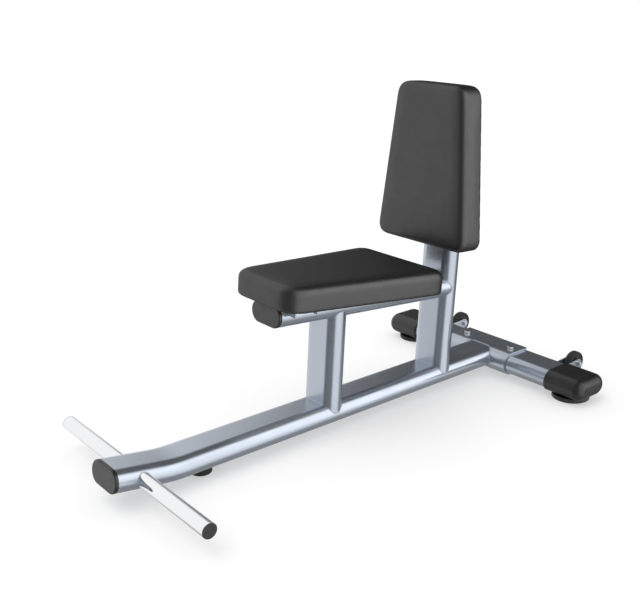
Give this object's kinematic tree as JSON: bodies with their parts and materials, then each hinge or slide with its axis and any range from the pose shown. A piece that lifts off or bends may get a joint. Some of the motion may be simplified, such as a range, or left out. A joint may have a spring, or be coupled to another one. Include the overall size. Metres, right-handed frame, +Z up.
{
  "type": "utility bench",
  "caption": "Upright utility bench on a flat-oval steel frame, with tapered pads, a chrome foot bar, levelling feet and transport wheels.",
  "frame": {"origin": "on the floor, under the centre of the bench's bounding box", "axes": "+Z up; -Y is the front, where the foot bar is; +Y is the rear, where the stabiliser and wheels are; +X is the sitter's left"},
  "size_m": [0.796, 1.5292, 0.915],
  "materials": {
    "frame_paint": "glossy metallic silver powder coat",
    "chrome_bar": "polished",
    "zinc_hardware": "zinc plated",
    "upholstery": "satin black vinyl, fine grain",
    "plywood": "raw",
    "black_plastic": "satin moulded",
    "foot_rubber": "matt",
    "wheel_tread": "matt"
  },
  "bodies": {
    "frame": {"axle_bolt_left": "zinc_hardware", "axle_bolt_right": "zinc_hardware", "axle_nut_left": "zinc_hardware", "axle_nut_right": "zinc_hardware", "back_board": "plywood", "back_bolt_lower_left": "zinc_hardware", "back_bolt_lower_right": "zinc_hardware", "back_bolt_upper_left": "zinc_hardware", "back_bolt_upper_right": "zinc_hardware", "back_bracket_lower_left": "frame_paint", "back_bracket_lower_right": "frame_paint", "back_bracket_upper_left": "frame_paint", "back_bracket_upper_right": "frame_paint", "back_pad": "upholstery", "beam_end_plug": "black_plastic", "foot_bar": "chrome_bar", "foot_bar_plug_left": "black_plastic", "foot_bar_plug_right": "black_plastic", "foot_boss_left": "zinc_hardware", "foot_boss_right": "zinc_hardware", "fork_plate_head_side_left": "frame_paint", "fork_plate_head_side_right": "frame_paint", "fork_plate_nut_side_left": "frame_paint", "fork_plate_nut_side_right": "frame_paint", "front_foot": "foot_rubber", "front_foot_insert": "zinc_hardware", "front_foot_screw": "zinc_hardware", "front_upright": "frame_paint", "main_beam": "frame_paint", "rear_upright": "frame_paint", "rear_upright_plug": "black_plastic", "seat_board": "plywood", "seat_bolt_front_left": "zinc_hardware", "seat_bolt_front_right": "zinc_hardware", "seat_bolt_rear_left": "zinc_hardware", "seat_bolt_rear_right": "zinc_hardware", "seat_bracket_front_left": "frame_paint", "seat_bracket_front_right": "frame_paint", "seat_bracket_rear_left": "frame_paint", "seat_bracket_rear_right": "frame_paint", "seat_pad": "upholstery", "seat_rail": "frame_paint", "seat_rail_plug": "black_plastic", "sleeve_bolt_left": "zinc_hardware", "sleeve_bolt_right": "zinc_hardware", "sleeve_nut_left": "zinc_hardware", "sleeve_nut_right": "zinc_hardware", "stabiliser_cap_left": "black_plastic", "stabiliser_cap_right": "black_plastic", "stabiliser_sleeve": "frame_paint", "stabiliser_tube": "frame_paint"},
    "wheel_left": {"wheel_tyre_left": "wheel_tread", "wheel_hub_left": "black_plastic"},
    "sole_left": {"foot_sole_left": "foot_rubber"},
    "foot_left": {"levelling_foot_left": "black_plastic"},
    "wheel_right": {"wheel_tyre_right": "wheel_tread", "wheel_hub_right": "black_plastic"},
    "sole_right": {"foot_sole_right": "foot_rubber"},
    "foot_right": {"levelling_foot_right": "black_plastic"}
  },
  "joints": [
    {"name": "wheel_left_spin", "type": "hinge", "parent": "frame", "child": "wheel_left", "pos_m": [0.237, 0.72858, 0.0493], "axis": [1, 0, 0], "continuous": true},
    {"name": "foot_left_drop", "type": "slide", "parent": "frame", "child": "sole_left", "axis": [0, 0, -1], "range_m": [0, 0.0101]},
    {"name": "foot_left_turn", "type": "hinge", "parent": "sole_left", "child": "foot_left", "pos_m": [0.324, 0.60058, 0], "axis": [0, 0, -1], "range_deg": [0, 1800]},
    {"name": "wheel_right_spin", "type": "hinge", "parent": "frame", "child": "wheel_right", "pos_m": [-0.237, 0.72858, 0.0493], "axis": [1, 0, 0], "continuous": true},
    {"name": "foot_right_drop", "type": "slide", "parent": "frame", "child": "sole_right", "axis": [0, 0, -1], "range_m": [0, 0.0101]},
    {"name": "foot_right_turn", "type": "hinge", "parent": "sole_right", "child": "foot_right", "pos_m": [-0.324, 0.60058, 0], "axis": [0, 0, -1], "range_deg": [0, 1800]}
  ],
  "couplings": [
    {"joint": "foot_left_drop", "follows": "foot_left_turn", "m_per_rad": 0.00031831},
    {"joint": "foot_right_drop", "follows": "foot_right_turn", "m_per_rad": 0.00031831}
  ]
}
